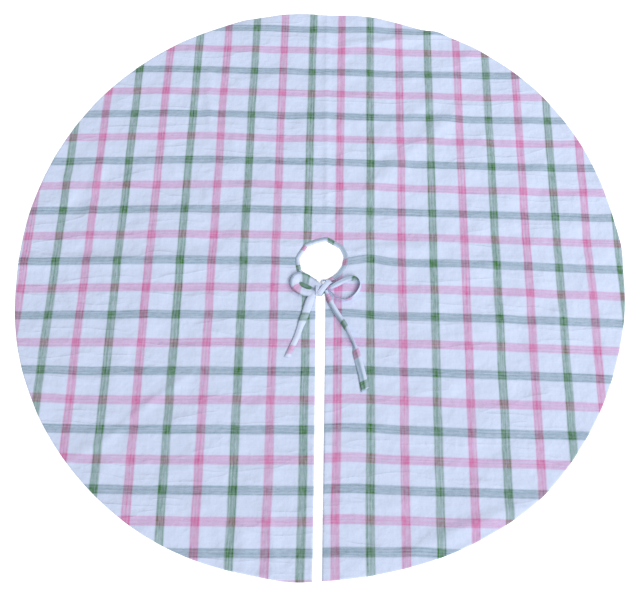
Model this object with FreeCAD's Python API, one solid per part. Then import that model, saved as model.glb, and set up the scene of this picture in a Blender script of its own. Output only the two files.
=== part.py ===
import FreeCAD, Part

import math
import os

# A round, lined tree skirt that lies flat on the floor round the foot of a Christmas tree.
# It is a disc of two cloth layers with a round neck in the middle and one slit from the neck to
# the edge. A folded tape binds the neck, and its two ends are tied in a bow across the slit.
# Millimetres, +Z up, origin on the floor at the middle of the disc, the slit towards -Y.
# The cloth bends, so it is split into the bodies that it folds into: the back half, and the two
# front flaps, which fold up and over the back half along a crease through the neck.

# Driving dimensions
SKIRT_DIAMETER = 1219.2
NECK_DIAMETER = 82.0
SLIT_AT_NECK = 21.0
SLIT_AT_EDGE = 17.0
CLOTH = 1.0  # one layer of cloth, as it lies
FOLD_GAP = 1.0  # between the back half and the front flaps, where the cloth bends

BINDING_WIDTH = 9.5
BINDING_LEG = 0.6  # the binding's cloth above and below the skirt
BINDING_RIM = 1.2  # the binding's cloth round the neck's raw edge

SEAM_INSET = 0.8  # from the turned edge to the seam's thread
THREAD = 0.5
THREAD_HEIGHT = 0.4
STITCH_INSET = 1.5  # from the binding's outer edge to its row of stitches
STITCH_LENGTH = 2.5
STITCH_PITCH = 3.5
STITCH_HEIGHT = 0.25

TIE_WIDTH = 13.0
TIE_THICKNESS = 1.4
TIE_CLEARANCE = 0.3
LOOP_HEIGHT = 11.0
ROOT_RADIUS = 4.5
ARC_SHARE = 0.45  # of the shorter run, left to each side of a turn in a tail

# Worked out
SKIRT_R = SKIRT_DIAMETER / 2
NECK_R = NECK_DIAMETER / 2
BINDING_R = NECK_R + BINDING_WIDTH
RAW_R = NECK_R + BINDING_RIM
LINING_TOP = CLOTH
FACE_TOP = 2 * CLOTH
BINDING_TOP = FACE_TOP + BINDING_LEG
SEAM_Z = LINING_TOP - THREAD_HEIGHT / 2
TAIL_Z = FACE_TOP + TIE_CLEARANCE
BOW_Z = TAIL_Z + TIE_THICKNESS + TIE_CLEARANCE  # the knot and loops stand clear above the tails
BOW_TOP = BOW_Z + LOOP_HEIGHT
BELOW = -10.0  # cutting solids start here and are this much taller than the skirt
TALL = 60.0
WIDE = SKIRT_DIAMETER

# The bow. The knot bridges the slit and reaches from the left flap's slit edge over the right flap.
KNOT_LEFT = -SLIT_AT_NECK / 2 + 0.2
KNOT_RIGHT = 15.2
KNOT_BACK = -NECK_R - 1.5
KNOT_FRONT = -69.0
KNOT_ROUNDING = 4.0
# Each loop is a band between a small circle beside the knot and a large one at its far end.
LOOPS = {
    "left_loop": {"root": (-15.5, -57.0), "far": (-42.0, -47.0), "radius": 21.5},
    "right_loop": {"root": (20.0, -57.0), "far": (55.0, -57.0), "radius": 24.0},
}
# The tails lie flat on the flaps. These are the points of each tail's middle line.
TAILS = {
    "left_tail": [(-18.5, -70.0), (-26.5, -95.0), (-37.0, -122.0), (-46.5, -155.0), (-62.0, -197.0)],
    "right_tail": [(11.5, -61.0), (19.0, -85.0), (38.0, -114.0), (58.0, -147.0), (72.5, -180.0),
                   (78.5, -215.0), (85.5, -260.0)],
}


def disc(radius, bottom, top):
    """A round plate on the skirt's axis."""
    return Part.makeCylinder(radius, top - bottom, FreeCAD.Vector(0, 0, bottom))


def ring(inner, outer, bottom, top):
    return disc(outer, bottom, top).cut(disc(inner, bottom, top))


def prism(corners, bottom, top):
    """A straight-sided solid on the given plan."""
    points = [FreeCAD.Vector(x, y, bottom) for x, y in corners]
    face = Part.Face(Part.makePolygon(points + points[:1]))
    return face.extrude(FreeCAD.Vector(0, 0, top - bottom))


def back_region(inset):
    """The space of the back half. It has no slit edge, so the inset changes nothing there."""
    edge = FOLD_GAP / 2
    return prism([(-WIDE, edge), (WIDE, edge), (WIDE, WIDE), (-WIDE, WIDE)], BELOW, TALL)


def flap_region(side, inset):
    """The space of one front flap, side -1 left and 1 right, with its slit edge moved in by inset."""
    fold = -FOLD_GAP / 2
    taper = (SLIT_AT_NECK - SLIT_AT_EDGE) / 2 * (WIDE / SKIRT_R)
    near = SLIT_AT_NECK / 2 + inset
    corners = [(side * near, fold), (side * (near - taper), -WIDE), (side * WIDE, -WIDE),
               (side * WIDE, fold)]
    return prism(corners, BELOW, TALL)


REGIONS = {
    "back": back_region,
    "front_left": lambda inset: flap_region(-1, inset),
    "front_right": lambda inset: flap_region(1, inset),
}


def edge_seam(region):
    """The thread that joins face and lining, just inside the turned outer edge and slit edges."""
    outer, inner = SEAM_INSET, SEAM_INSET + THREAD
    top = SEAM_Z + THREAD_HEIGHT
    outside = disc(SKIRT_R - outer, SEAM_Z, top).common(region(outer))
    inside = disc(SKIRT_R - inner, SEAM_Z, top).common(region(inner))
    return outside.cut(inside).cut(disc(BINDING_R + outer, SEAM_Z, top))


def face(region, seam):
    return ring(RAW_R, SKIRT_R, LINING_TOP, FACE_TOP).common(region(0)).cut(seam)


def lining(region, seam):
    """The bottom layer, pressed thinner where the binding's lower leg lies under it."""
    sheet = ring(RAW_R, SKIRT_R, 0, LINING_TOP).cut(ring(RAW_R, BINDING_R, 0, BINDING_LEG))
    return sheet.common(region(0)).cut(seam)


def binding(region):
    """A folded tape round the neck's raw edge, U-shaped in section."""
    band = ring(NECK_R, BINDING_R, 0, BINDING_TOP)
    return band.cut(ring(RAW_R, BINDING_R, BINDING_LEG, FACE_TOP)).common(region(0))


def neck_stitches(region):
    """The row of stitches that holds the binding, one small solid for each stitch."""
    radius = BINDING_R - STITCH_INSET
    count = round(2 * math.pi * radius / STITCH_PITCH)
    room = region(STITCH_LENGTH / 2)
    stitches = []
    for i in range(count):
        turn = 360.0 * (i + 0.5) / count
        stitch = Part.makeBox(THREAD, STITCH_LENGTH, STITCH_HEIGHT,
                              FreeCAD.Vector(radius - THREAD / 2, -STITCH_LENGTH / 2, BINDING_TOP))
        stitch.rotate(FreeCAD.Vector(0, 0, 0), FreeCAD.Vector(0, 0, 1), turn)
        if stitch.common(room).Volume > 0.999 * stitch.Volume:
            stitches.append(stitch)
    return Part.makeCompound(stitches)


def band_outline(root, far, near_radius, far_radius, bottom):
    """The wire round two circles of different size, joined by their two outer tangent lines."""
    root, far = FreeCAD.Vector(*root, bottom), FreeCAD.Vector(*far, bottom)
    along = far - root
    heading = math.atan2(along.y, along.x)
    spread = math.acos((near_radius - far_radius) / along.Length)

    def at(centre, radius, angle):
        return centre + FreeCAD.Vector(math.cos(angle), math.sin(angle), 0) * radius

    left, right = heading + spread, heading - spread
    edges = [
        Part.LineSegment(at(root, near_radius, right), at(far, far_radius, right)).toShape(),
        Part.Arc(at(far, far_radius, right), at(far, far_radius, heading),
                 at(far, far_radius, left)).toShape(),
        Part.LineSegment(at(far, far_radius, left), at(root, near_radius, left)).toShape(),
        Part.Arc(at(root, near_radius, left), at(root, near_radius, heading + math.pi),
                 at(root, near_radius, right)).toShape(),
    ]
    return Part.Wire(edges)


def loop(root, far, radius):
    """One loop of the bow: the tie standing on its edge, bent into a drop shape."""
    lift = FreeCAD.Vector(0, 0, LOOP_HEIGHT)
    outer = Part.Face(band_outline(root, far, ROOT_RADIUS, radius, BOW_Z)).extrude(lift)
    inner = Part.Face(band_outline(root, far, ROOT_RADIUS - TIE_THICKNESS, radius - TIE_THICKNESS,
                                   BOW_Z)).extrude(lift)
    return outer.cut(inner)


def knot():
    block = Part.makeBox(KNOT_RIGHT - KNOT_LEFT, KNOT_BACK - KNOT_FRONT, BOW_TOP - BOW_Z,
                         FreeCAD.Vector(KNOT_LEFT, KNOT_FRONT, BOW_Z))
    return block.makeFillet(KNOT_ROUNDING, block.Edges)


def rounded_route(points, height):
    """Straight runs joined by tangent arcs, each arc as large as its two runs allow."""
    spots = [FreeCAD.Vector(x, y, height) for x, y in points]
    edges, start, radii = [], spots[0], []
    for before, corner, after in zip(spots, spots[1:], spots[2:]):
        back, ahead = before - corner, after - corner
        cut = ARC_SHARE * min(back.Length, ahead.Length)
        half_turn = (math.pi - back.getAngle(ahead)) / 2
        back.normalize()
        ahead.normalize()
        first, last = corner + back * cut, corner + ahead * cut
        radius = cut / math.tan(half_turn)
        middle = back + ahead
        middle.normalize()
        centre = corner + middle * math.hypot(radius, cut)
        edges.append(Part.LineSegment(start, first).toShape())
        edges.append(Part.Arc(first, centre - middle * radius, last).toShape())
        start = last
        radii.append(round(radius, 1))
    edges.append(Part.LineSegment(start, spots[-1]).toShape())
    return Part.Wire(edges), radii


def tail(name, points):
    """One end of the tie, a flat tape that lies on its flap."""
    route, radii = rounded_route(points, TAIL_Z + TIE_THICKNESS / 2)
    start = FreeCAD.Vector(*points[0], TAIL_Z)
    ahead = FreeCAD.Vector(*points[1], TAIL_Z) - start
    ahead.normalize()
    across = FreeCAD.Vector(-ahead.y, ahead.x, 0) * (TIE_WIDTH / 2)
    up = FreeCAD.Vector(0, 0, TIE_THICKNESS)
    corners = [start + across, start - across, start - across + up, start + across + up]
    section = Part.makePolygon(corners + corners[:1])
    tape = route.makePipeShell([section], True, False)
    share = tape.Volume / (TIE_WIDTH * TIE_THICKNESS * route.Length)
    print(name, "length", round(route.Length, 1), "radii", radii, "volume share", round(share, 4))
    return tape


def build():
    """Every node of the skirt by name."""
    nodes = {}
    for body, region in REGIONS.items():
        seam = edge_seam(region)
        nodes["face_" + body] = face(region, seam)
        nodes["lining_" + body] = lining(region, seam)
        nodes["edge_seam_" + body] = seam
        nodes["neck_binding_" + body] = binding(region)
        nodes["neck_stitches_" + body] = neck_stitches(region)
    for name, shape in LOOPS.items():
        nodes[name] = loop(**shape)
    for name, points in TAILS.items():
        nodes[name] = tail(name, points)
    nodes["bow_knot"] = knot()
    return nodes


os.makedirs("parts", exist_ok=True)
for name, shape in build().items():
    print(name, "valid", shape.isValid(), "solids", len(shape.Solids), "volume", round(shape.Volume, 1))
    shape.exportStep("parts/" + name + ".step")
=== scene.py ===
import math

import bmesh
import bpy
import numpy as np
from mathutils import Matrix, Vector


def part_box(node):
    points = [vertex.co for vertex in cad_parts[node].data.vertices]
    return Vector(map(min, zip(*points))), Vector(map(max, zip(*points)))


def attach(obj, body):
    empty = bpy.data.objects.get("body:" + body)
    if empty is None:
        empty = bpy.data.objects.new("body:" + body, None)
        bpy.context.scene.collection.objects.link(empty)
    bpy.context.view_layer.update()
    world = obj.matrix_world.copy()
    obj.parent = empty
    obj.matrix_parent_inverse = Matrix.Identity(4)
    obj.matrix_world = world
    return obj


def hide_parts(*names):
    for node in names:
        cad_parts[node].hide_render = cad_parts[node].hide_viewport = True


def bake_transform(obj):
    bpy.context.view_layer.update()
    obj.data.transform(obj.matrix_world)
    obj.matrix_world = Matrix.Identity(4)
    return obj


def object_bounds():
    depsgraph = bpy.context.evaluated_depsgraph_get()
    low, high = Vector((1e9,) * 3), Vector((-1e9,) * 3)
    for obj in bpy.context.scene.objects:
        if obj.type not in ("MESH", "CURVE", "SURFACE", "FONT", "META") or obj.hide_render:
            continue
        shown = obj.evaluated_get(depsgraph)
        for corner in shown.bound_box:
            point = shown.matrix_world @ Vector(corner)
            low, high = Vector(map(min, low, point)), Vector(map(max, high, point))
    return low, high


# A lined plaid tree skirt that lies flat on the floor. The tape that binds its neck is of the same
# cloth, and the tape's two ends are tied in a bow over the slit.
# Lengths are written in millimetres and turned into metres as each mesh is made. Angles go round the
# neck's middle from the right, anticlockwise, and the slit is towards -Y.

MM = 0.001
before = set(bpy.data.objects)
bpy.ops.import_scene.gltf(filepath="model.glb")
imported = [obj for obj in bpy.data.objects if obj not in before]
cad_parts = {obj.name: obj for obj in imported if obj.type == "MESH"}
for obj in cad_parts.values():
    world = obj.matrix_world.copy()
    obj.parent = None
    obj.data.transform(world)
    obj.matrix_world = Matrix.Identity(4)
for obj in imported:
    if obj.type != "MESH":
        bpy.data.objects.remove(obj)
CAD_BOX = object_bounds()

SKIRT_R = max(CAD_BOX[1].x, -CAD_BOX[0].x) / MM
FACE_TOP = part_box("face_back")[1].z / MM
BINDING_R = -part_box("neck_binding_back")[0].x / MM  # the binding's outer edge
SHELL = 0.45  # one layer of cotton
SEAM_TOP = 1.2  # the sewn edge of the face, above the floor
FOLD_REACH = 16.0  # the columns are close this far to each side of the crease between back and flaps
SEAMLESS = 0.02  # degrees: a first column this narrow keeps the end wall's shading off the halves' join

# The plaid, in the cloth's own coordinates: green and pink stripes take turns in both directions.
# The warp runs to the back and the weft runs to the side.
WARP_PITCH, WEFT_PITCH = 63.1, 56.3
WARP_START, WEFT_START = 2.4896, 8.0364  # pitches from a green stripe to the cloth's zero
WARP_HALF, WEFT_HALF = 8.3, 8.8  # half a stripe's width
WHITE_COTTON = (0.584, 0.663, 0.853)
# How much of the white's red, green and blue a stripe takes away
WARP_GREEN, WARP_PINK = (0.525, 0.410, 0.510), (0.020, 0.435, 0.310)
WEFT_GREEN, WEFT_PINK = (0.440, 0.358, 0.360), (0.016, 0.342, 0.220)
CROSSING = (0.65, 0.65, 0.25)  # where stripes cross, the yarns hide this much of each other

# The outline of the laid cloth

OUTER_R = 609.5  # the outer edge's mean distance from the neck's middle
MOST_PAST_CAD = 8.0
# (angle, reach in degrees, amount): where the sewn outer edge is drawn in or let out
EDGE_PULLS = [
    (4, 4, 3.5), (66, 2.5, 4), (70, 6, -5), (77, 11, -3.2), (90, 5, -5.5), (108, 3, 2.5), (137, 13, -3),
    (158, 13, -3), (181, 9, -3), (208, 4, -1.5), (249, 12, 2), (266, 5, 4), (285, 8, -1.6),
    (312, 8, 3.4), (352, 8, 2),
]
SLIT_START, SLIT_LENGTH = 74, 484  # from the neck's middle to where the slit shows, and on to the edge
# (angle, distance from the middle): the soft corners of the binding's inner edge
NECK_CORNERS = [
    (-60, 36.0), (-32, 37.0), (-8, 41.0), (18, 46.0), (40, 47.6), (80, 48.0), (104, 43.2), (131, 44.4),
    (170, 44.4), (200, 43.0), (236, 37.6), (262, 37.0), (300, 36.0),
]


def edge_radius(angle):
    """The outer edge's distance from the middle. Cloth cut round still pulls a little with its grain."""
    degrees = np.degrees(angle) % 360
    radius = OUTER_R - 6.3 * np.cos(angle) + 1.6 * np.sin(2 * angle) - 4.1 * np.cos(4 * angle)
    for place, reach, amount in EDGE_PULLS:
        radius = radius + amount * np.exp(-((degrees - place) / reach) ** 2)
    return np.minimum(radius, SKIRT_R + MOST_PAST_CAD)


def slit_edge(side, y):
    """How far from the middle line the slit's edge is, on the left (side -1) or the right."""
    along = np.clip((-y - SLIT_START) / SLIT_LENGTH, 0, 1.1)
    if side < 0:
        return 11.6 - 11.8 * along + 5.2 * along ** 2
    return 10.0 + 2.0 * along


def neck_radius(angle):
    """The neck's inner edge: nearly straight stretches between soft corners, as bound cloth has."""
    fine = np.arange(-60, 301, 1.0)
    corners = [(r * math.cos(math.radians(a)), r * math.sin(math.radians(a))) for a, r in NECK_CORNERS]
    spots = np.concatenate([np.linspace(p, q, 40, endpoint=False) for p, q in zip(corners, corners[1:])])
    turns = np.degrees(np.unwrap(np.arctan2(spots[:, 1], spots[:, 0])))
    radii = np.interp(fine, turns, np.hypot(spots[:, 0], spots[:, 1]))
    kernel = np.exp(-np.linspace(-2, 2, 13) ** 2)
    radii = np.convolve(np.pad(radii, 6, "edge"), kernel / kernel.sum(), "valid")
    degrees = (np.degrees(angle) + 90) % 360 - 90
    return np.interp(degrees, fine, radii)


# The shape of the laid cloth

# (points along the crease, height, half-width): soft ridges that a stored cloth keeps, before RIDGE_LIFT
RIDGES = [
    ([(-612, -9), (-430, -4), (-300, 2), (-190, 10)], 3.0, 15),
    ([(10, 80), (5, 331), (1, 600)], 1.5, 7),
    ([(75, 140), (130, 205), (190, 262), (245, 322), (290, 385)], 3.2, 22),
    ([(-250, -235), (-340, -310), (-400, -368), (-465, -402)], 2.2, 10),
    ([(-252, 455), (-250, 380), (-243, 305)], 1.8, 9),
    ([(62, 26), (110, 34), (160, 33), (235, 28)], 2.4, 12),
    ([(300, 14), (430, 8), (556, 9)], 1.4, 12),
    ([(40, 520), (130, 528), (205, 538), (262, 560)], 4.0, 12),
    ([(170, -552), (250, -515), (320, -490), (385, -468)], 3.4, 14),
    ([(-470, 70), (-478, 150), (-462, 225)], 2.0, 11),
    ([(-525, 120), (-520, 185)], 1.6, 10),
    ([(-92, -470), (-76, -540), (-70, -600)], 2.4, 12),
    ([(-142, -490), (-128, -545), (-122, -598)], 1.8, 12),
    ([(-222, -480), (-208, -530), (-205, -570)], 1.8, 14),
    ([(120, 360), (175, 350), (240, 372)], 1.4, 14),
    ([(-205, -70), (-170, -130), (-160, -190)], 1.2, 15),
    ([(420, 190), (470, 250), (480, 330)], 1.3, 15),
    ([(330, -110), (420, -150), (500, -160)], 1.0, 16),
    ([(-420, -120), (-380, -190), (-390, -260)], 1.2, 16),
]

RIDGE_LIFT = 1.4
RIDGE_ENDS = 45  # a ridge dies out over about this length
LOOSE = 2.0  # how far the cloth lies above its lowest places
LAID_SHARE = 0.9  # of all those heights
PRESSED = 0.35  # how far flat cloth is below the CAD's face
BOW_X, BOW_Y, BOW_REACH_X, BOW_REACH_Y = 12, -130, 165, 170  # flat ground that the tails swing over
BINDING_REACH = 62  # flat cloth round the binding
LANDING_X, LANDING_Y, LANDING_REACH_X, LANDING_REACH_Y = 8, 62, 90, 60  # flatter, where the bow folds to

# (x, y, reach, shift in x, shift in y): where the weave is pulled off its straight lines
PULLS = [
    (45, -100, 55, -1, 5), (60, -230, 70, 0, 3.5), (60, -370, 75, 0, 5), (60, -500, 70, -2, 5),
    (180, -540, 50, 0, 4), (330, -340, 90, 0, -2.2), (-60, -430, 110, 2.2, -0.8), (95, 10, 35, 0, 8),
    (-60, -200, 110, 1.2, -1.2), (95, 525, 55, 0, 5), (215, 360, 60, 0, 2.5), (-270, 270, 60, 0, 3.6),
    (-165, 175, 50, 0, 2.8), (-90, 320, 55, -0.5, -2.4), (-540, -270, 50, 0, 3), (300, 0, 110, 0, 2),
    (-180, 360, 55, -1.6, 0), (150, 230, 60, 1.5, 0), (540, 40, 70, -2, 0),
]


def soft_noise(x, y, size, seed):
    """Smooth bumps about size apart, from -1 to 1, the same each time."""
    lattice = np.random.default_rng(seed).uniform(-1, 1, (64, 64))
    u, v = x / size + 31.7, y / size + 29.3
    i, j = np.floor(u).astype(int), np.floor(v).astype(int)
    a, b = u - i, v - j
    a, b = a * a * (3 - 2 * a), b * b * (3 - 2 * b)

    def at(p, q):
        return lattice[p % 64, q % 64]

    low = at(i, j) * (1 - a) + at(i + 1, j) * a
    high = at(i, j + 1) * (1 - a) + at(i + 1, j + 1) * a
    return low * (1 - b) + high * b


def along_line(x, y, points):
    """For each spot, how far the broken line is, and how far along it the nearest place is."""
    nearest = np.full(x.shape, 1e9)
    travelled = np.zeros(x.shape)
    before = 0.0
    for (px, py), (qx, qy) in zip(points, points[1:]):
        run = math.hypot(qx - px, qy - py)
        t = np.clip(((x - px) * (qx - px) + (y - py) * (qy - py)) / run ** 2, 0, 1)
        away = np.hypot(x - px - t * (qx - px), y - py - t * (qy - py))
        closer = away < nearest
        nearest = np.where(closer, away, nearest)
        travelled = np.where(closer, before + t * run, travelled)
        before += run
    return nearest, travelled, before


def cloth_height(x, y):
    """The top of the face above the floor."""
    height = 1.3 * soft_noise(x, y, 150, 1) + 1.1 * soft_noise(x, y, 60, 2) + 0.7 * soft_noise(x, y, 27, 3)
    along, across = 0.74 * x + 0.67 * y, 0.74 * y - 0.67 * x
    height += 1.3 * soft_noise(along / 3, across, 34, 5) + 0.8 * soft_noise(x / 2.6, y, 24, 6)
    crumple = 1 - np.abs(soft_noise(x + 0.4 * y, y - 0.2 * x, 74, 4))
    height += 1.3 * crumple ** 5 + LOOSE
    for points, tall, wide in RIDGES:
        away, travelled, long = along_line(x, y, points)
        ends = np.clip(np.minimum(travelled, long - travelled) / RIDGE_ENDS + 0.35, 0, 1)
        height += RIDGE_LIFT * tall * ends * np.exp(-(away / wide) ** 2)
    near_bow = np.exp(-(((x - BOW_X) / BOW_REACH_X) ** 2 + ((y - BOW_Y) / BOW_REACH_Y) ** 2) ** 3)
    near_neck = np.exp(-(np.hypot(x, y) / BINDING_REACH) ** 6)
    landing = ((x - LANDING_X) / LANDING_REACH_X) ** 2 + ((y - LANDING_Y) / LANDING_REACH_Y) ** 2
    calm = np.maximum(np.maximum(near_bow, near_neck), 0.75 * np.exp(-landing ** 2))
    return FACE_TOP + height * (1 - calm) * LAID_SHARE - PRESSED * calm


def cloth_lay(x, y):
    """How far each spot of the weave lies from its place in a perfectly square plaid."""
    a, b = x / SKIRT_R, y / SKIRT_R
    dx = 1.7 + 3.4 * a - 0.5 * b - 2.8 * a * a - 1.7 * a * b + 1.3 * b * b
    dx += 4.0 * a * a * b - 4.8 * a * b * b - 7.8 * a ** 3
    dy = 1.2 - 1.8 * a + 1.7 * b - 16.1 * a * a - 17.7 * a * b - 10.2 * b * b
    dy += 2.4 * a ** 3 + 1.9 * a * a * b - 7.5 * b ** 3
    dy += 5.6 * a ** 4 + 19.8 * a ** 3 * b + 18.4 * (a * b) ** 2 + 4.8 * a * b ** 3 + 7.0 * b ** 4
    for px, py, reach, sx, sy in PULLS:
        share = np.exp(-((x - px) ** 2 + (y - py) ** 2) / reach ** 2)
        if py < 0:  # a pull in front stays on its own side of the slit
            share = share * (x * px > 0)
        dx, dy = dx + sx * share, dy + sy * share
    dx = dx + 0.5 * soft_noise(x, y, 48, 11) + 0.3 * soft_noise(x, y, 21, 12)
    dy = dy + 0.5 * soft_noise(x, y, 48, 13) + 0.3 * soft_noise(x, y, 21, 14)
    return dx, dy


# Meshes


def make_object(name, points, faces, uv, material):
    """A smooth mesh object from points in millimetres, with the cloth coordinates as its UV map."""
    mesh = bpy.data.meshes.new(name)
    mesh.from_pydata((np.asarray(points) * MM).tolist(), [], faces)
    layer = mesh.uv_layers.new(name="cloth")
    corner = np.zeros(len(mesh.loops), np.int32)
    mesh.loops.foreach_get("vertex_index", corner)
    layer.data.foreach_set("uv", (np.asarray(uv) * MM)[corner].astype(np.float32).ravel())
    mesh.polygons.foreach_set("use_smooth", np.ones(len(mesh.polygons), bool))
    edit = bmesh.new()
    edit.from_mesh(mesh)
    bmesh.ops.recalc_face_normals(edit, faces=edit.faces)
    edit.to_mesh(mesh)
    edit.free()
    mesh.materials.append(material)
    made = bpy.data.objects.new(name, mesh)
    bpy.context.scene.collection.objects.link(made)
    return made


def grid_faces(rows, columns, start=0, close=False):
    """The quads between neighbouring rows of points; close joins the last column to the first."""
    across = columns if close else columns - 1
    i, j = np.meshgrid(np.arange(rows - 1), np.arange(across), indexing="ij")
    k = (j + 1) % columns
    quads = np.stack([i * columns + j, i * columns + k, (i + 1) * columns + k, (i + 1) * columns + j], -1)
    return (quads.reshape(-1, 4) + start).tolist()


def shell_faces(rows, columns):
    """The quads of a closed shell: the top grid, the bottom grid and the wall round their rims."""
    count = rows * columns
    faces = grid_faces(rows, columns) + grid_faces(rows, columns, count)
    rim = list(range(columns))
    rim += [i * columns + columns - 1 for i in range(1, rows)]
    rim += [(rows - 1) * columns + j for j in range(columns - 2, -1, -1)]
    rim += [i * columns for i in range(rows - 2, 0, -1)]
    faces += [[a, b, b + count, a + count] for a, b in zip(rim, rim[1:] + rim[:1])]
    return faces


NEAR_EDGE = np.array([9.0, 5.5, 3.2, 1.8, 0.9, 0.35, 0])  # the last rings, by distance from the outer edge
NEAR_SLIT = np.array([6.5, 3.8, 2.0, 1.0, 0.4, 0.0])  # the last columns, by distance from the slit
LAST_EVEN_RING, LAST_EVEN_COLUMN = 11.0, 10.0  # the even steps stop this far from the edge and the slit
PAST_FOLD = 0.4  # degrees: the close columns go on this far past the fold's reach at the outer edge
HIDDEN_RIM = 1.3  # the cloth starts this far outside the binding's inner edge
# From ring to ring in millimetres, from column to column in degrees, and that again at the fold
FACE_STEPS = (5.6, 0.7, 0.24)
LINING_STEPS = (9.0, 1.3, 0.4)
EDGE_ROLL = 2.6  # the face bends down this near to its sewn edges
PUCKER_HEIGHT, PUCKER_REACH = 0.28, 9
LINING_LOW = 0.06  # above the floor, where the lining lies flat
LINING_SLACK = 0.25  # it follows this share of the face's bumps


def half_grid(side, ring_step, turn_step, fold_step):
    """The spots of one half of the disc, by ring and by column, from the back's middle to the slit.
    The rings are close at the outer edge, and the columns at the fold and the slit."""
    depth = SKIRT_R - BINDING_R
    rings = np.concatenate([np.arange(0, depth - LAST_EVEN_RING, ring_step), depth - NEAR_EDGE]) / depth
    fold = np.degrees(FOLD_REACH / SKIRT_R) + PAST_FOLD
    back = np.concatenate([[0, SEAMLESS], np.arange(turn_step, 90 - fold, turn_step),
                           np.arange(90 - fold, 90 + fold, fold_step)])
    front = np.linspace(0, 1, int(round(88 / turn_step)))  # a flap is about 88 degrees wide
    turns = []
    for ring in rings:
        radius = BINDING_R + ring * depth
        slit = math.pi - np.arcsin(slit_edge(side, -radius) / radius)
        last = slit - LAST_EVEN_COLUMN / radius
        opening = math.radians(back[-1] + fold_step)
        turns.append(np.concatenate([np.radians(back), opening + (last - opening) * front,
                                     slit - NEAR_SLIT / radius]))
    turns = np.array(turns)
    angles = np.pi / 2 - side * turns
    inner = neck_radius(angles) + HIDDEN_RIM
    radii = inner + (edge_radius(angles) - inner) * rings[:, None]
    return radii * np.cos(angles), radii * np.sin(angles)


def edge_distance(side, x, y):
    """How far each spot is from the nearest sewn edge: the outer edge or the slit."""
    outer = edge_radius(np.arctan2(y, x)) - np.hypot(x, y)
    slit = np.where(y < -20, side * x - slit_edge(side, y), 1e9)
    return np.maximum(np.minimum(outer, slit), 0)


def roll(distance, reach):
    """How far down a rolled edge is, from 0 inside to 1 at the very edge."""
    inside = np.clip(1 - distance / reach, 0, 1)
    return 1 - np.sqrt(np.maximum(1 - inside ** 2, 0))


def pucker(x, y, distance):
    """Small waves that the sewn edge draws into the cloth."""
    wave = soft_noise(x, y, 16, 21) + 0.6 * soft_noise(x, y, 9, 22)
    return PUCKER_HEIGHT * wave * np.exp(-distance / PUCKER_REACH) * np.clip(distance / 2, 0, 1)


def face_piece(side, name, material):
    """One half of the plaid cloth, a thin shell with rolled edges."""
    x, y = half_grid(side, *FACE_STEPS)
    away = edge_distance(side, x, y)
    top = cloth_height(x, y) + pucker(x, y, away)
    top = top - (top - SEAM_TOP) * roll(away, EDGE_ROLL)
    dx, dy = cloth_lay(x, y)
    uv = np.stack([x - dx, y - dy], -1).reshape(-1, 2)
    upper = np.stack([x, y, top], -1).reshape(-1, 3)
    lower = np.stack([x, y, top - SHELL], -1).reshape(-1, 3)
    return make_object(name, np.concatenate([upper, lower]), shell_faces(*x.shape),
                       np.concatenate([uv, uv]), material)


def lining_piece(side, name, material):
    """One half of the white cloth below, which lies flatter than the face."""
    x, y = half_grid(side, *LINING_STEPS)
    away = edge_distance(side, x, y)
    lift = np.maximum(cloth_height(x, y) - FACE_TOP, 0) * np.clip(away / 20, 0, 1)
    low = LINING_LOW + LINING_SLACK * lift
    uv = np.stack([x, y], -1).reshape(-1, 2)
    upper = np.stack([x, y, low + SHELL], -1).reshape(-1, 3)
    lower = np.stack([x, y, low], -1).reshape(-1, 3)
    return make_object(name, np.concatenate([upper, lower]), shell_faces(*x.shape),
                       np.concatenate([uv, uv]), material)


def sweep(name, rings, uv, material, closed=False):
    """A tube through rings of points, each ring a closed section. Its ends are capped or joined."""
    rings = np.asarray(rings)
    rows, columns = rings.shape[:2]
    faces = grid_faces(rows, columns, close=True)
    if closed:
        last = (rows - 1) * columns
        faces += [[last + j, last + (j + 1) % columns, (j + 1) % columns, j] for j in range(columns)]
    else:
        faces += [list(range(columns)), list(range((rows - 1) * columns, rows * columns))]
    return make_object(name, rings.reshape(-1, 3), faces, np.asarray(uv).reshape(-1, 2), material)


def half_turns(side, step):
    """Angles round the neck for one half, from the back's middle to the slit."""
    slit = 180 - math.degrees(math.asin(slit_edge(side, -BINDING_R) / BINDING_R))
    turns = np.radians(np.insert(np.linspace(0, slit, int(slit / step)), 1, SEAMLESS))
    return np.pi / 2 - side * turns


BINDING_WIDTH = 9.5
BINDING_MIDDLE = 1.5  # height that parts the binding's upper leg from its lower one
# The binding's section: how far outside the neck's inner edge, and how high. It is folded over the
# cloth's raw edge, so it has an upper leg, a rim and a lower leg.
BINDING_SECTION = [
    (BINDING_WIDTH, 2.35), (BINDING_WIDTH, 3.0), (8.2, 3.6), (5.6, 4.3), (3.0, 4.3), (1.1, 3.6),
    (0.2, 2.6), (0.0, 1.5), (0.3, 0.7), (1.4, 0.2), (4.0, 0.05), (8.6, 0.05), (BINDING_WIDTH, 0.25),
    (8.6, 0.5), (4.0, 0.55), (1.2, 0.8), (0.9, 1.5), (1.2, 2.1), (4.0, 2.3), (8.6, 2.3),
]
GATHER_OUT, GATHER_UP = 0.25, 0.22  # how far the gathers push the tape out and up
START = -1e9  # before any tape's first end
BINDING_PIECES = [(START, 59.5, 1.08), (100.0, 169.5, 1.32)]
SLANT = 0.3  # how far the stripes across a tape are from square to it, per millimetre


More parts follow.
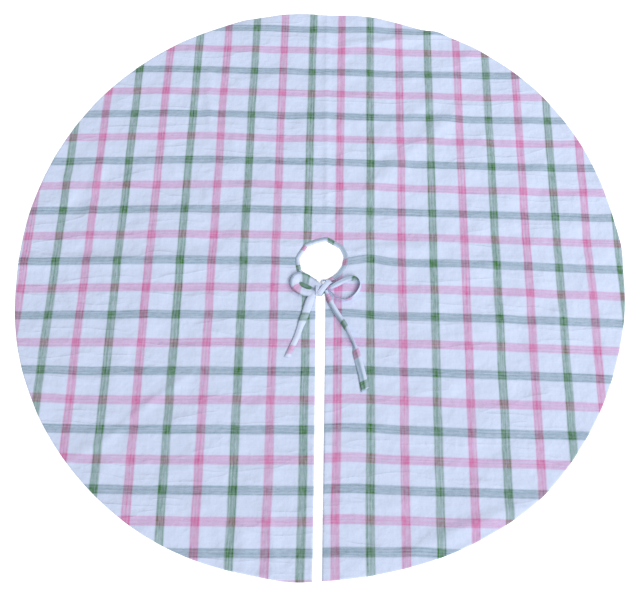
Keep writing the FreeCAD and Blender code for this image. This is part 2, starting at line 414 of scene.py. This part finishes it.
def tape_uv(along, clear, pieces):
    """Cloth coordinates on a tape, which is cut along the weft. clear is how far the spot is outside
    the green weft stripe that runs along one of its edges. pieces are the lengths that the tape is
    joined from: (where it starts, where a green warp stripe crosses it, how much it is gathered)."""
    start, green, gathered = [p for p in pieces if p[0] <= along or p is pieces[0]][-1]
    crossing = (along - green) * gathered - WARP_START * WARP_PITCH
    edge_stripe = (WEFT_START - 8) * WEFT_PITCH  # 8 pitches on from the cloth's zero is green again
    return crossing + SLANT * clear, edge_stripe + WEFT_HALF + clear


def binding_piece(side, name, material):
    """One half of the folded tape round the neck, a little gathered."""
    angles = half_turns(side, 0.8)
    inner = neck_radius(angles)
    along = angles * 50.0  # measured round the middle of the tape
    gather = soft_noise(along, along * 0, 6.5, 31) + 0.5 * soft_noise(along, along * 0, 3.1, 32)
    rings, uv = [], []
    for angle, radius, s, wave in zip(angles, inner, along, gather):
        ring, places = [], []
        edge = 3.6 - 1.8 * math.cos(angle)  # the green edge stripe's width on the upper leg
        for out, high in BINDING_SECTION:
            upper = max(0.0, min(1.0, (high - BINDING_MIDDLE) / 1.5))
            r = radius + out + GATHER_OUT * wave * (out > 5)
            z = high + GATHER_UP * wave * upper * math.sin(math.pi * min(out, 9) / BINDING_WIDTH)
            ring.append((r * math.cos(angle), r * math.sin(angle), z))
            clear = edge - out if high > BINDING_MIDDLE else edge + out
            places.append(tape_uv(s, clear, BINDING_PIECES))
        rings.append(ring)
        uv.append(places)
    return sweep(name, rings, uv, material)


STITCH_LENGTH, STITCH_WIDTH, STITCH_HEIGHT, STITCH_PITCH = 2.4, 0.5, 0.22, 3.2
STITCH_ROW = 8.0  # outside the binding's inner edge
STITCH_Z = 3.45
# One stitch as shares of its half length, half width and height: its rim, its top and its underside
STITCH_RIM = [(-1, 0, 0), (-0.7, 0.7, 0.6), (0, 1, 1), (0.7, 0.7, 0.6), (1, 0, 0), (0.7, -0.7, 0.6),
              (0, -1, 1), (-0.7, -0.7, 0.6)]
STITCH_POLES = [(0, 0, 1.25), (0, 0, -0.4)]


def stitch_mesh(name, spots, material):
    """Short rounded stitches, one at each (x, y, heading)."""
    points, faces, uv = [], [], []
    rim = len(STITCH_RIM)
    for x, y, heading in spots:
        start = len(points)
        c, s = math.cos(heading), math.sin(heading)
        for a, b, up in STITCH_RIM + STITCH_POLES:
            px, py = a * STITCH_LENGTH / 2, b * STITCH_WIDTH / 2
            points.append((x + c * px - s * py, y + s * px + c * py, STITCH_Z + up * STITCH_HEIGHT))
            uv.append((px, py))
        for k in range(rim):
            n = (k + 1) % rim
            faces.append([start + k, start + n, start + rim])
            faces.append([start + n, start + k, start + rim + 1])
    return make_object(name, points, faces, uv, material)


def neck_stitches(side, name, material):
    """The row of stitches that holds the binding."""
    angles = half_turns(side, 0.5)
    row = neck_radius(angles) + STITCH_ROW
    x, y = row * np.cos(angles), row * np.sin(angles)
    travelled = np.concatenate([[0], np.cumsum(np.hypot(np.diff(x), np.diff(y)))])
    spots = []
    for s in np.arange(2.5, travelled[-1] - 2, STITCH_PITCH):
        px, py = np.interp(s, travelled, x), np.interp(s, travelled, y)
        qx, qy = np.interp(s + 1, travelled, x), np.interp(s + 1, travelled, y)
        spots.append((px, py, math.atan2(qy - py, qx - px)))
    return stitch_mesh(name, spots, material)


SEAM_INSET, SEAM_HALF = 1.0, 0.25  # from the edge to the thread's middle, and half its width
SEAM_LOW, SEAM_HIGH = 0.48, 0.78
SEAM_TURN = 6  # the round stretch stops this far before the slit, and the thread goes on along it
SEAM_STEP, SEAM_LAST = 10.0, 60  # along the slit, and from the neck's middle to the thread's end


def edge_seam(side, name, material):
    """The thread between face and lining, just inside the outer edge and the slit's edge."""
    turns = np.radians(np.concatenate([np.arange(0, 88, 1.0), np.arange(88, 92, 0.25),
                                       np.arange(92, 179.0, 1.0)]))
    path = []
    for angle in np.pi / 2 - side * turns:
        r = edge_radius(angle) - SEAM_INSET
        path.append((r * math.cos(angle), r * math.sin(angle)))
    path = [p for p in path if not (p[1] < 0 and side * p[0] < slit_edge(side, p[1]) + SEAM_TURN)]
    for y in np.arange(1 - math.hypot(*path[-1]), -SEAM_LAST, SEAM_STEP):
        path.append((side * (slit_edge(side, y) + SEAM_INSET), y))
    path = np.array(path)
    ahead = np.gradient(path, axis=0)
    ahead /= np.linalg.norm(ahead, axis=1)[:, None]
    out = np.stack([-ahead[:, 1], ahead[:, 0]], 1)
    corners = [(-SEAM_HALF, SEAM_LOW), (SEAM_HALF, SEAM_LOW), (SEAM_HALF, SEAM_HIGH), (-SEAM_HALF, SEAM_HIGH)]
    rings = [[(*(p + o * a), z) for a, z in corners] for p, o in zip(path, out)]
    uv = [[(0.5 * k, a) for a, _ in corners] for k in range(len(path))]
    return sweep(name, rings, uv, material)


# The tie


def smooth_line(points):
    """Points in metres along the spline that a route's points control."""
    curve = bpy.data.curves.new("route", "CURVE")
    curve.dimensions = "3D"
    curve.resolution_u = 14
    spline = curve.splines.new("NURBS")
    spline.points.add(len(points) - 1)
    for control, place in zip(spline.points, points):
        control.co = (*(MM * c for c in place), 1)
    spline.order_u = 3
    spline.use_endpoint_u = True
    holder = bpy.data.objects.new("route", curve)
    mesh = bpy.data.meshes.new_from_object(holder)
    line = [v.co.copy() for v in mesh.vertices]
    bpy.data.objects.remove(holder)
    bpy.data.curves.remove(curve)
    bpy.data.meshes.remove(mesh)
    return line


def keyed(keys, share):
    """A value between (share, value) keys, eased."""
    for (s0, v0), (s1, v1) in zip(keys, keys[1:]):
        if share <= s1:
            t = max(0.0, (share - s0) / (s1 - s0))
            return v0 + (v1 - v0) * t * t * (3 - 2 * t)
    return keys[-1][1]


# Places across a tape, as shares of its half width
ACROSS = np.array([-1, -0.97, -0.88, -0.7, -0.4, -0.12, 0.12, 0.4, 0.7, 0.88, 0.97, 1])
FOLDED_EDGE = 0.72  # the dip beside the tape's turned-in edges
SKEWED = 6  # an end's slant dies out over one part in this many of the tape
TAPE_THICK = 1.2


def tape_section(width, thick, cup):
    """(across, out) points round a flat folded tape that is bent along its middle by cup. The first
    ones, as many as in ACROSS, are its one side."""
    lift = cup * (1 - np.abs(ACROSS) ** 1.3)
    full = np.sqrt(1 - ACROSS ** 10) * thick / 2
    full = full * (1 - 0.18 * np.exp(-((np.abs(ACROSS) - FOLDED_EDGE) / 0.07) ** 2))
    top = np.stack([ACROSS * width / 2, lift + full], 1)
    bottom = np.stack([ACROSS * width / 2, lift - full], 1)[-2:0:-1]
    return np.concatenate([top, bottom])


def tape(name, line, material, leans, widths, cups, pieces, stripe, thick=TAPE_THICK, slants=(0, 0)):
    """A tape along a line in metres. leans, widths and cups are keys along it. Its width stands up at
    lean 0, and leans to the left of the way it goes at lean 90. slants cut its two ends askew. stripe
    is (direction, distance) for its one side and then the other: the direction across the tape that
    leads away from its green edge stripe, and how far outside that stripe its middle is."""
    spots = np.array([tuple(p) for p in line]) / MM
    steps = np.linalg.norm(np.diff(spots, axis=0), axis=1)
    along = np.concatenate([[0], np.cumsum(steps)])
    ahead = np.gradient(spots, along, axis=0)
    rings, uv = [], []
    for k, (spot, way) in enumerate(zip(spots, ahead)):
        share = along[k] / along[-1]
        way = Vector(way).normalized()
        left = Vector((0, 0, 1)).cross(way).normalized()
        lean = math.radians(keyed(leans, share))
        upright = way.cross(left)
        wide = upright * math.cos(lean) + left * math.sin(lean)
        out = way.cross(wide)
        width, cup = keyed(widths, share), keyed(cups, share)
        skew = slants[0] * max(0, 1 - share * SKEWED) - slants[1] * max(0, 1 - (1 - share) * SKEWED)
        ring, places = [], []
        for index, (across, off) in enumerate(tape_section(width, thick, cup)):
            place = Vector(spot) + wide * across + out * off + way * (across * skew)
            ring.append(tuple(place))
            direction, clear = stripe[0] if index < len(ACROSS) else stripe[1]
            places.append(tape_uv(along[k] + across * skew, direction * across + clear, pieces))
        rings.append(ring)
        uv.append(places)
    return sweep(name, rings, uv, material)


# Points of the tie's routes. The tails' heights are over flat cloth, and the others are above the floor.
LEFT_TAIL = [(-13.5, -65.5, 7.2), (-19, -74, 5.8), (-25, -92, 4.2), (-30, -109, 3.6), (-35.5, -124, 3.5),
             (-40.5, -142, 3.5), (-47, -162, 3.4), (-55.5, -180, 3.4), (-62.5, -197, 3.4)]
RIGHT_TAIL = [(9, -60, 7.2), (12.5, -69, 5.6), (18.5, -84, 4.8), (27, -99, 4.8), (36.5, -114, 5.2),
              (46, -129, 7.4), (55, -145, 8.6), (62.5, -161, 7.6), (68, -177, 5.0), (72, -193, 3.6),
              (77.5, -213, 3.5), (83, -236, 3.4), (87, -260, 3.4)]
LEFT_LOOP = [(0, -55, 9.6), (-10, -49.5, 9.0), (-23, -40.5, 8.2), (-36, -33, 7.6), (-46, -32.5, 7.2),
             (-52.5, -41, 6.6), (-51.0, -52, 6.6), (-43, -60.5, 6.2), (-30, -65.5, 6.2), (-17, -65.5, 6.4),
             (-5, -60, 8.0)]
# The left loop's open inner fold. Its dark green crossing stands in the loop's hollow as painted shade.
OPEN_FOLD_FOR_SHADE = [(-8, -57, 4.6), (-18, -53.5, 3.0), (-28, -48, 2.7), (-38, -44, 2.7), (-46, -45, 3.2)]
RIGHT_LOOP = [(9, -55, 9.2), (17, -55.5, 9.2), (28, -49.5, 9.0), (41, -41.5, 8.8), (55, -35, 8.7),
              (67, -33, 8.3), (77, -38.5, 7.6), (78.5, -50, 7.2), (73.5, -62, 7.0), (63, -74, 7.0),
              (50, -80, 7.2), (37, -77.5, 7.6), (27, -70.5, 8.0), (18, -61.5, 8.6), (11, -58, 9.0)]
PLAIN = (1, 15)  # a side of the tape without the edge stripe

# The bow's free pieces: the CAD node that each replaces, the body that it rides on, its route and its
# length in metres, its far end, and how tape() shapes and stripes it
BOW = {
    "left_tie_end": {
        "node": "left_tail", "body": "left_tail", "route": LEFT_TAIL, "length": 0.141, "far_end": "bare",
        "look": {
            "leans": [(0, 75), (0.15, 96), (0.45, 98), (1, 94)],
            "widths": [(0, 12), (0.15, 16.5), (0.42, 15), (0.56, 11.5), (1, 10)],
            "cups": [(0, 2), (0.4, 1.8), (1, 1.6)],
            "pieces": [(0, 55, 0.88)], "stripe": ((1, 5.5), PLAIN), "slants": (0.2, 0.35),
        },
    },
    "right_tie_end": {
        "node": "right_tail", "body": "right_tail", "route": RIGHT_TAIL, "length": 0.217, "far_end": "bare",
        "look": {
            "leans": [(0, 50), (0.12, 62), (0.38, 58), (0.48, 26), (0.56, 24), (0.66, 80), (1, 92)],
            "widths": [(0, 9), (0.1, 12.5), (0.5, 11.5), (0.6, 13), (0.7, 15), (1, 15.5)],
            "cups": [(0, 4.2), (0.42, 3.8), (0.65, 0.8), (1, 0.5)],
            "pieces": [(0, 80, 1.0)], "stripe": ((1, -2.4), PLAIN), "slants": (0.2, 0.45),
        },
    },
    "left_bow_loop": {
        "node": "left_loop", "body": "front_left", "route": LEFT_LOOP, "length": 0.123, "far_end": "object",
        "look": {
            "leans": [(0, -55), (0.2, -64), (0.45, -66), (0.62, -76), (0.85, -88), (1, -50)],
            "widths": [(0, 10), (0.12, 16.5), (0.3, 19.5), (0.5, 20), (0.68, 18), (0.88, 14.5), (1, 10)],
            "cups": [(0, -1.4), (0.4, -2.0), (1, -1.6)],
            "pieces": [(START, 37, 1.0), (58, 17, 1.0)], "stripe": (PLAIN, (-1, 6.0)),
        },
    },
    "right_bow_loop": {
        "node": "right_loop", "body": "front_right", "route": RIGHT_LOOP, "length": 0.173,
        "far_end": "object",
        "look": {
            "leans": [(0, 18), (0.15, 34), (0.33, 32), (0.44, -12), (0.55, -18), (0.66, -6), (0.8, 14),
                      (1, 10)],
            "widths": [(0, 9), (0.15, 12.5), (0.33, 12.5), (0.45, 9.5), (0.9, 9.5), (1, 9)],
            "cups": [(0, 0.8), (0.33, 0.8), (0.45, -0.5), (1, -0.5)],
            "pieces": [(0, 64, 1.0)], "stripe": ((-1, 0.0), PLAIN),
        },
    },
}
TAIL_LIFT = 0.35  # of a tail over the cloth, besides its route's own heights


def on_cloth(route):
    """A tail's route lifted to lie on the cloth, wherever that is higher or lower than flat cloth."""
    return [(x, y, z + float(cloth_height(np.array(x), np.array(y))) - FACE_TOP + TAIL_LIFT)
            for x, y, z in route]


def make_tie(material):
    """Both tails and both loops, each a tape along its own route, riding on its body."""
    for name, plan in BOW.items():
        is_tail = plan["far_end"] == "bare"
        line = smooth_line(on_cloth(plan["route"]) if is_tail else plan["route"])
        piece = tape(name, line, material, **plan["look"])
        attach(piece, plan["body"])
        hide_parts(plan["node"])


ROOTS = {
    "right_tie_root": {
        "body": "front_right", "green": 71,
        "route": [(24, -33, 4.6), (17, -38, 7.0), (11, -40.5, 10.0), (5, -40.5, 11.6), (0.5, -43.5, 12.0),
                  (1.5, -48, 12.0), (7, -50, 11.6), (11.5, -47, 10.5)],
        "leans": [(0, 82), (0.3, 40), (0.5, 8), (1, -5)],
    },
    "left_tie_root": {
        "body": "front_left", "green": 60,
        "route": [(-22, -33.5, 3.4), (-15, -38, 4.4), (-9, -44, 6.0), (-4, -50, 7.6), (0, -55, 8.0)],
        "leans": [(0, -85), (0.5, -70), (1, -60)],
    },
}
# Each turn of the knot round the gathers: its middle, half depth, half height and how far askew it runs,
# then the slant of the tape's width, the tape's size and where a green warp stripe crosses it
TURNS = {
    "knot_wrap": {"centre": (6.2, -56.0, 9.4), "deep": 14.6, "tall": 5.8, "askew": 0.72, "tilt": 0.62,
                  "width": 12.0, "thick": 1.8, "green": 54},
    "knot_under_turn": {"centre": (-6.5, -60.5, 7.6), "deep": 10.5, "tall": 4.6, "askew": -0.1,
                        "tilt": -0.1, "width": 9.0, "thick": 1.4, "green": 38},
}
TURN_STEPS = 44


def make_knot(material):
    """The knot: the tape's wrap over the gathered loops, the turn under it, and the ties' roots, which
    leave the two ends of the neck's binding. The left loop's inner fold lies open on the cloth, and its
    stripes are set so that a dark green crossing lies in the loop's hollow as painted shade."""
    made = []
    for name, plan in TURNS.items():
        made.append((ring_tape(name, material, **plan), "front_right"))
    for name, plan in ROOTS.items():
        root = tape(name, smooth_line(plan["route"]), material, plan["leans"], widths=[(0, 9.5), (1, 8)],
                    cups=[(0, 0.6), (0.6, 1.8), (1, 1.8)], pieces=[(START, plan["green"], 1.0)],
                    stripe=((1, 2), (1, 2)))
        made.append((root, plan["body"]))
    # The stripes and the gather put a dark green crossing in the loop's hollow, as painted shade.
    fold = tape("left_loop_fold_painted_shade", smooth_line(OPEN_FOLD_FOR_SHADE), material, leans=[(0, -84), (1, -96)],
                widths=[(0, 9), (0.5, 15), (1, 12)], cups=[(0, -1.5), (1, -1.5)],
                pieces=[(START, 22, 0.55)], stripe=((1, -3), (1, -3)), thick=0.8)
    made.append((fold, "front_left"))
    for piece, body in made:
        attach(piece, body)
    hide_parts("bow_knot")


def turn_round(centre, deep, tall, askew):
    """The spots of one turn of tape round the gathered loops."""
    spots = []
    for k in range(TURN_STEPS):
        turn = 2 * math.pi * k / TURN_STEPS
        y = deep * math.cos(turn)
        spots.append((centre[0] + askew * y, centre[1] + y, centre[2] + tall * math.sin(turn)))
    return np.array(spots)


def ring_tape(name, material, centre, deep, tall, askew, tilt, width, thick, green):
    """A closed turn of tape round the gathers, its width across the turn."""
    spots = turn_round(centre, deep, tall, askew)
    ahead = np.roll(spots, -1, 0) - np.roll(spots, 1, 0)
    along = np.concatenate([[0], np.cumsum(np.linalg.norm(np.diff(spots, axis=0), axis=1))])
    wide = Vector((1, -tilt, 0)).normalized()
    rings, uv = [], []
    for k, (spot, way) in enumerate(zip(spots, ahead)):
        way = Vector(way).normalized()
        out = wide.cross(way).normalized()
        here = wide - way * wide.dot(way)
        here.normalize()
        pinch = 1 - 0.12 * math.sin(2 * math.pi * k / len(spots)) ** 2
        ring, places = [], []
        for index, (across, off) in enumerate(tape_section(width * pinch, thick, -0.8)):
            fold = 0.35 * math.cos(across * 1.7 + k * 0.25)
            ring.append(tuple(Vector(spot) + here * across + out * (off + fold)))
            clear = across + 5.5 if index < len(ACROSS) else PLAIN[1]
            places.append(tape_uv(along[k], clear, [(START, green, 1.0)]))
        rings.append(ring)
        uv.append(places)
    return sweep(name, rings, uv, material, closed=True)


# Materials


class Graph:
    """Short ways to build one material's nodes."""

    def __init__(self, name):
        self.material = bpy.data.materials.new(name)
        self.material.use_nodes = True
        self.tree = self.material.node_tree
        self.shader = self.tree.nodes["Principled BSDF"]

    def put(self, socket, value):
        if isinstance(value, bpy.types.NodeSocket):
            self.tree.links.new(value, socket)
        else:
            socket.default_value = value

    def calc(self, operation, *values):
        node = self.tree.nodes.new("ShaderNodeMath")
        node.operation = operation
        for socket, value in zip(node.inputs, values):
            self.put(socket, value)
        return node.outputs[0]

    def mix(self, share, first, second, blend="MIX"):
        node = self.tree.nodes.new("ShaderNodeMix")
        node.data_type = "RGBA"
        node.blend_type = blend
        self.put(node.inputs[0], share)
        for socket, value in ((node.inputs[6], first), (node.inputs[7], second)):
            self.put(socket, (*value, 1) if isinstance(value, tuple) else value)
        return node.outputs[2]

    def grey(self, level):
        node = self.tree.nodes.new("ShaderNodeCombineColor")
        for socket in node.inputs[:3]:
            self.put(socket, level)
        return node.outputs[0]

    def uv(self):
        node = self.tree.nodes.new("ShaderNodeUVMap")
        node.uv_map = "cloth"
        split = self.tree.nodes.new("ShaderNodeSeparateXYZ")
        self.tree.links.new(node.outputs[0], split.inputs[0])
        return split.outputs[0], split.outputs[1]

    def wave(self, place, pitch):
        return self.calc("SINE", self.calc("MULTIPLY", place, 2 * math.pi / pitch))

    def noise(self, u, v, u_scale, v_scale, detail, offset):
        join = self.tree.nodes.new("ShaderNodeCombineXYZ")
        self.put(join.inputs[0], self.calc("MULTIPLY", u, u_scale))
        self.put(join.inputs[1], self.calc("MULTIPLY", v, v_scale))
        join.inputs[2].default_value = offset
        node = self.tree.nodes.new("ShaderNodeTexNoise")
        node.inputs["Scale"].default_value = 1.0
        node.inputs["Detail"].default_value = detail
        self.tree.links.new(join.outputs[0], node.inputs["Vector"])
        return node.outputs[0]

    def ramp(self, value, stops):
        node = self.tree.nodes.new("ShaderNodeValToRGB")
        ramp = node.color_ramp
        while len(ramp.elements) < len(stops):
            ramp.elements.new(0.5)
        for element, (place, level) in zip(ramp.elements, stops):
            element.position = place
            element.color = (level, level, level, 1)
        self.put(node.inputs[0], value)
        return node.outputs[0]

    def bump(self, height, distance, strength, under=None):
        node = self.tree.nodes.new("ShaderNodeBump")
        node.inputs["Strength"].default_value = strength
        node.inputs["Distance"].default_value = distance
        self.put(node.inputs["Height"], height)
        if under is not None:
            self.put(node.inputs["Normal"], under)
        return node.outputs[0]


STRIPE_REACH = 1.6  # half-widths from a stripe's middle to where its last coloured yarn may be
# How much of a stripe's yarn is coloured, by distance from its middle as a share of that reach
STRIPE_DENSITY = [
    (0.0, 1.0), (0.06, 1.0), (0.14, 0.88), (0.34, 0.88), (0.42, 1.0), (0.52, 0.96), (0.70, 0.07),
    (0.9, 0.0),
]
DYE_LEAST, DYE_STREAK = -0.2, 2.5  # how deep the dye is in a yarn, and how much its streaks change that
WEAVE_PITCH = 0.0009  # metres from one yarn to the next but one
THREAD_TWIST = 0.0005
WEAVE_DEPTH, TAPE_WEAVE_DEPTH = 0.00006, 0.00005
OVER_UNDER = 0.3  # how much stronger a yarn's colour is where it lies on top


def stripes(graph, place, pitch, start, half, streak, colours):
    """What one direction's stripes take from the white."""
    turns = graph.calc("ADD", graph.calc("DIVIDE", place, pitch * MM), start)
    number = graph.calc("ROUND", turns)
    away = graph.calc("ABSOLUTE", graph.calc("SUBTRACT", turns, number))
    density = graph.ramp(graph.calc("MULTIPLY", away, pitch / (STRIPE_REACH * half)), STRIPE_DENSITY)
    depth = graph.calc("MULTIPLY_ADD", streak, DYE_STREAK, DYE_LEAST)
    yarn = graph.calc("MULTIPLY", depth, density)
    dye = graph.mix(graph.calc("PINGPONG", number, 1.0), *colours)
    return graph.mix(1.0, dye, graph.grey(yarn), "MULTIPLY")


def weave(graph, u, v):
    """1 where the warp lies on top and -1 where the weft does."""
    return graph.calc("MULTIPLY", graph.wave(u, WEAVE_PITCH), graph.wave(v, WEAVE_PITCH))


def cotton_finish(graph, u, v, colour, weave_depth=WEAVE_DEPTH):
    """The bumps of plain weave with its slubs, of soft crumples in two sizes and of thin creases, and
    cotton's low gloss."""
    slub = graph.noise(u, v, 900, 90, 2, 3.1)
    normal = graph.bump(graph.calc("ADD", weave(graph, u, v), graph.calc("MULTIPLY", slub, 1.5)),
                        weave_depth, 0.5)
    normal = graph.bump(graph.noise(u, v, 95, 95, 3, 8.7), 0.0016, 0.6, normal)
    normal = graph.bump(graph.noise(u, v, 34, 34, 4, 6.1), 0.006, 0.5, normal)
    level = graph.calc("MULTIPLY_ADD", graph.noise(u, v, 2.6, 13, 3, 9.1), 2.0, -1.0)
    crease = graph.calc("POWER", graph.calc("SUBTRACT", 1.0, graph.calc("ABSOLUTE", level)), 16.0)
    normal = graph.bump(crease, 0.0016, 0.7, normal)
    shader = graph.shader
    graph.put(shader.inputs["Base Color"], colour)
    shader.inputs["Roughness"].default_value = 0.9
    shader.inputs["Specular IOR Level"].default_value = 0.2
    shader.inputs["Sheen Weight"].default_value = 0.08
    shader.inputs["Sheen Roughness"].default_value = 0.5
    graph.put(shader.inputs["Normal"], normal)


def plaid(name, weave_depth):
    """White cotton with green and pink stripes in both directions. Each yarn's colour runs in streaks
    along it, and where stripes cross, the yarns hide part of each other."""
    graph = Graph(name)
    u, v = graph.uv()
    warp_streak = graph.calc("MULTIPLY_ADD", graph.noise(u, v, 420, 7, 3, 1.3), 0.6,
                             graph.calc("MULTIPLY", graph.noise(u, v, 380, 90, 3, 4.4), 0.4))
    weft_streak = graph.calc("MULTIPLY_ADD", graph.noise(u, v, 7, 420, 3, 5.9), 0.6,
                             graph.calc("MULTIPLY", graph.noise(u, v, 90, 380, 3, 7.2), 0.4))
    warp = stripes(graph, u, WARP_PITCH, WARP_START, WARP_HALF, warp_streak, (WARP_GREEN, WARP_PINK))
    weft = stripes(graph, graph.calc("MULTIPLY", v, -1.0), WEFT_PITCH, WEFT_START, WEFT_HALF, weft_streak,
                   (WEFT_GREEN, WEFT_PINK))
    over = graph.calc("MULTIPLY_ADD", weave(graph, u, v), OVER_UNDER, 1.0)
    warp = graph.mix(1.0, warp, graph.grey(over), "MULTIPLY")
    weft = graph.mix(1.0, weft, graph.grey(graph.calc("SUBTRACT", 2.0, over)), "MULTIPLY")
    hidden = graph.mix(1.0, graph.mix(1.0, warp, weft, "MULTIPLY"), CROSSING, "MULTIPLY")
    left = graph.mix(1.0, graph.mix(1.0, (1.0, 1.0, 1.0), warp, "SUBTRACT"), weft, "SUBTRACT")
    left = graph.mix(1.0, left, hidden, "ADD")
    both = graph.calc("ADD", warp_streak, weft_streak)
    tone = graph.calc("ADD", 0.88, graph.calc("MULTIPLY", both, 0.12))
    left = graph.mix(1.0, left, graph.grey(tone), "MULTIPLY")
    cotton_finish(graph, u, v, graph.mix(1.0, left, WHITE_COTTON, "MULTIPLY"), weave_depth)
    return graph.material


def plain_cotton(name, tone):
    """Undyed cotton with faint streaks along the weft."""
    graph = Graph(name)
    u, v = graph.uv()
    streak = graph.noise(u, v, 500, 30, 3, 2.2)
    colour = graph.mix(streak, tuple(0.93 * c for c in tone), tone)
    cotton_finish(graph, u, v, colour)
    return graph.material


def thread_material():
    """White sewing thread, twisted."""
    graph = Graph("sewing_thread")
    u, v = graph.uv()
    twist = graph.wave(graph.calc("ADD", u, v), THREAD_TWIST)
    graph.put(graph.shader.inputs["Base Color"], (0.62, 0.68, 0.8, 1))
    graph.shader.inputs["Roughness"].default_value = 0.6
    graph.put(graph.shader.inputs["Normal"], graph.bump(twist, 0.00005, 0.6))
    return graph.material


# The room


AZIMUTH, ELEVATION, ROLL = 2.692, 69.9, -1.674  # degrees round from -Y, up, and clockwise
TARGET, DISTANCE, LENS = Vector((-0.0017, -0.0760, 0)), 1.7153, 48.9
FLOOR_SIDE, FLOOR_Z = 18.0, -0.0001
SKY_LEVEL = 0.42
SUN_FROM = Vector((0.42, -0.55, 0.72))
LAMP_AT = Vector((2.4, 0.3, 2.3))


def make_camera():
    """A camera over the front edge that looks steeply down."""
    azimuth, elevation, roll_angle = (math.radians(a) for a in (AZIMUTH, ELEVATION, ROLL))
    back = Vector((math.sin(azimuth) * math.cos(elevation), -math.cos(azimuth) * math.cos(elevation),
                   math.sin(elevation)))
    level = (-back).cross(Vector((0, 0, 1))).normalized()
    upward = level.cross(-back)
    right = level * math.cos(roll_angle) + upward * math.sin(roll_angle)
    up = upward * math.cos(roll_angle) - level * math.sin(roll_angle)
    data = bpy.data.cameras.new("camera")
    data.lens = LENS
    data.clip_start, data.clip_end = 0.02, 40
    camera = bpy.data.objects.new("camera", data)
    camera.matrix_world = Matrix((right, up, back)).transposed().to_4x4()
    camera.location = TARGET + back * DISTANCE
    bpy.context.scene.collection.objects.link(camera)
    bpy.context.scene.camera = camera


def make_floor():
    """A pale floor that glows a little, so that it stays even."""
    graph = Graph("floor")
    shader = graph.shader
    shader.inputs["Base Color"].default_value = (0.9, 0.9, 0.9, 1)
    shader.inputs["Roughness"].default_value = 0.9
    shader.inputs["Specular IOR Level"].default_value = 0.1
    shader.inputs["Emission Color"].default_value = (1, 1, 1, 1)
    shader.inputs["Emission Strength"].default_value = 0.5
    mesh = bpy.data.meshes.new("floor")
    corners = [(-1, -1), (1, -1), (1, 1), (-1, 1)]
    mesh.from_pydata([(x * FLOOR_SIDE / 2, y * FLOOR_SIDE / 2, FLOOR_Z) for x, y in corners], [],
                     [(0, 1, 2, 3)])
    mesh.materials.append(graph.material)
    floor = bpy.data.objects.new("floor", mesh)
    bpy.context.scene.collection.objects.link(floor)


def make_lamp(name, kind, energy, place):
    """A lamp that shines from place towards the neck."""
    lamp = bpy.data.lights.new(name, kind)
    lamp.energy = energy
    holder = bpy.data.objects.new(name, lamp)
    holder.location = place
    holder.rotation_euler = place.to_track_quat("Z", "Y").to_euler()
    bpy.context.scene.collection.objects.link(holder)
    return lamp


def make_light():
    """An even white sky, a soft sun from the front right and a round lamp on the right."""
    world = bpy.data.worlds.new("sky")
    world.use_nodes = True
    background = world.node_tree.nodes["Background"]
    background.inputs["Color"].default_value = (1, 1, 1, 1)
    background.inputs["Strength"].default_value = SKY_LEVEL
    bpy.context.scene.world = world
    sun = make_lamp("key_lamp", "SUN", 2.1, SUN_FROM)
    sun.angle = math.radians(34)
    lamp = make_lamp("side_lamp", "AREA", 29, LAMP_AT)
    lamp.shape = "DISK"
    lamp.size = 1.2
    bpy.context.scene.view_settings.view_transform = "Standard"


# The pieces together

HALVES = {-1: ("left", "front_left"), 1: ("right", "front_right")}


def across_fold(piece):
    """Bakes the piece's placing into its mesh."""
    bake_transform(piece)


def build():
    make_camera()
    materials = {
        "cloth": plaid("plaid_cotton", WEAVE_DEPTH),
        "tape": plaid("plaid_tape", TAPE_WEAVE_DEPTH),
        "lining": plain_cotton("white_lining", (0.64, 0.70, 0.82)),
        "thread": thread_material(),
    }
    make_tie(materials["tape"])
    make_knot(materials["tape"])
    for side, (word, body) in HALVES.items():
        face = face_piece(side, "face_" + word, materials["cloth"])
        lining = lining_piece(side, "lining_" + word, materials["lining"])
        binding = binding_piece(side, "neck_binding_" + word, materials["tape"])
        stitches = neck_stitches(side, "neck_stitches_" + word, materials["thread"])
        seam = edge_seam(side, "edge_seam_" + word, materials["thread"])
        for piece, part, slot in ((face, "face", "plaid_cotton"), (lining, "lining", "white_lining"),
                                  (binding, "neck_binding", "plaid_tape"),
                                  (stitches, "neck_stitches", "sewing_thread"),
                                  (seam, "edge_seam", "sewing_thread")):
            across_fold(piece)
            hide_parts(part + "_back", part + "_" + body)
    make_floor()
    make_light()


build()
